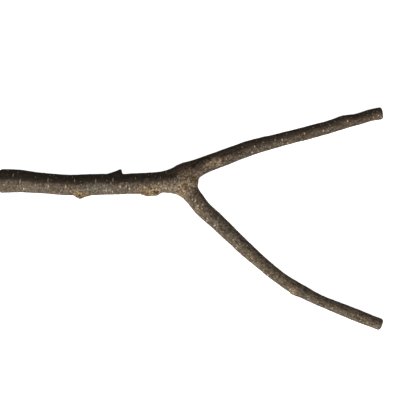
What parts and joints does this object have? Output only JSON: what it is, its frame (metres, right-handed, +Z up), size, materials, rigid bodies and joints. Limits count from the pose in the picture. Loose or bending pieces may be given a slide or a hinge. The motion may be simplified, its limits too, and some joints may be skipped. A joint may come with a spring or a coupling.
{
  "type": "fallen tree branch",
  "caption": "Bark-covered tree branch lying on the ground, its knotted stem forking into slender curved arms with plain sawn ends.",
  "frame": {"origin": "middle of the bounding box in X and Y, on the ground that the branch lies on", "axes": "+Z up from the ground; +X along the stem from its sawn butt end towards the arms; +Y towards the upper arm"},
  "size_m": [0.3844, 0.2234, 0.0261],
  "materials": {
    "bark": "dry rough grey-brown bark with pale lenticels, matt; pale weathered end grain at the sawn ends"
  },
  "bodies": {
    "root": {"stem": "bark", "upper_arm": "bark", "lower_arm": "bark"}
  },
  "joints": []
}
